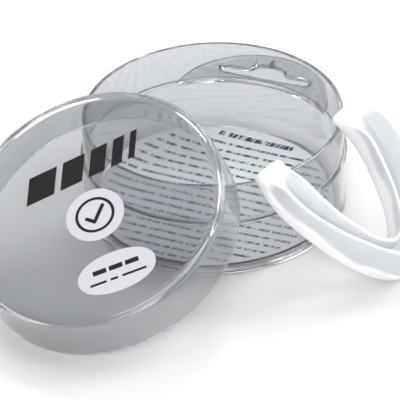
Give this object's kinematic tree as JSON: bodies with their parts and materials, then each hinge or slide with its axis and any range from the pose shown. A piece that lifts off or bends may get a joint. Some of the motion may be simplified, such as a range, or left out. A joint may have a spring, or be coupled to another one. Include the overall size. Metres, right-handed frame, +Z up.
{
  "type": "mouthguard with case",
  "caption": "Boil-and-bite mouthguard leaning on an open round clear case with a hang tab, a leaning lid and a paper leaflet.",
  "frame": {"origin": "centre of the flat underside of the case base, on the surface it stands on", "axes": "+Z up along the axis of the base; -Y towards the viewer, with the lid leaning to the front left and the mouthguard to the front right"},
  "size_m": [0.1537, 0.1476, 0.0543],
  "materials": {
    "clear_case": "clear injection-moulded polystyrene, polished",
    "clear_lid": "clear injection-moulded polystyrene, polished, lightly scuffed",
    "paper": "thin white printed leaflet, matt",
    "soft_guard": "translucent white thermoplastic, satin",
    "sticker": "white self-adhesive paper, satin",
    "ink": "black pad-printed ink"
  },
  "bodies": {
    "base": {"case_base": "clear_case"},
    "lid": {"case_lid": "clear_lid", "round_sticker": "sticker", "oval_sticker": "sticker", "lid_print": "ink"},
    "paper": {"leaflet": "paper"},
    "guard": {"mouthguard": "soft_guard"}
  },
  "joints": [
    {"name": "lid_swing", "type": "hinge", "parent": "base", "child": "lid", "pos_m": [0.04668, 0.06194, -0.0718], "axis": [-0.7986, 0.6018, 0], "range_deg": [0, 27.44]},
    {"name": "guard_tip", "type": "hinge", "parent": "base", "child": "guard", "pos_m": [0.0592, -0.04794, 0], "axis": [0.6293, 0.7771, 0], "range_deg": [0, 45]},
    {"name": "leaflet_lift", "type": "slide", "parent": "base", "child": "paper", "axis": [0, 0, 1], "range_m": [0, 0.028]}
  ]
}
